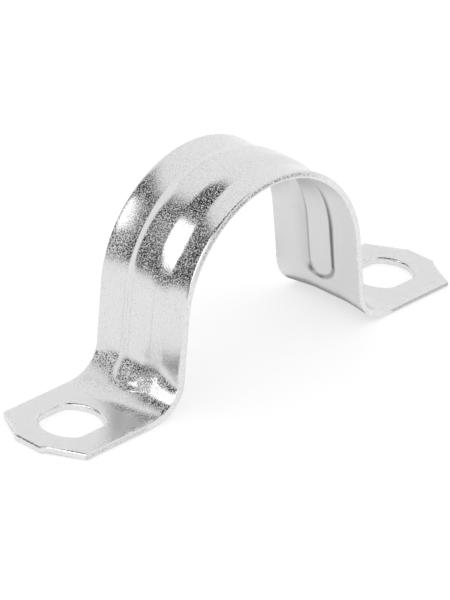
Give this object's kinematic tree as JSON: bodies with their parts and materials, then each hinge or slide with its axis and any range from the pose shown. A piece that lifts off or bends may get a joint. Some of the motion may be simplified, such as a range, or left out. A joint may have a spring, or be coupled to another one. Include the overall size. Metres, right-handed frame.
{
  "type": "conduit strap",
  "caption": "Saddle strap pressed from zinc-plated steel strip, with a ribbed arch over the conduit and a slotted, clipped foot at each end.",
  "frame": {"origin": "on the wall plane under the middle of the arch, centre of the base of the bounding box", "axes": "+X from foot to foot, +Y along the conduit, +Z away from the wall"},
  "size_m": [0.0766, 0.0164, 0.0299],
  "materials": {
    "zinc_plated_steel": "bright zinc plate, satin with a faint grain"
  },
  "bodies": {
    "root": {"conduit_strap": "zinc_plated_steel"}
  },
  "joints": []
}
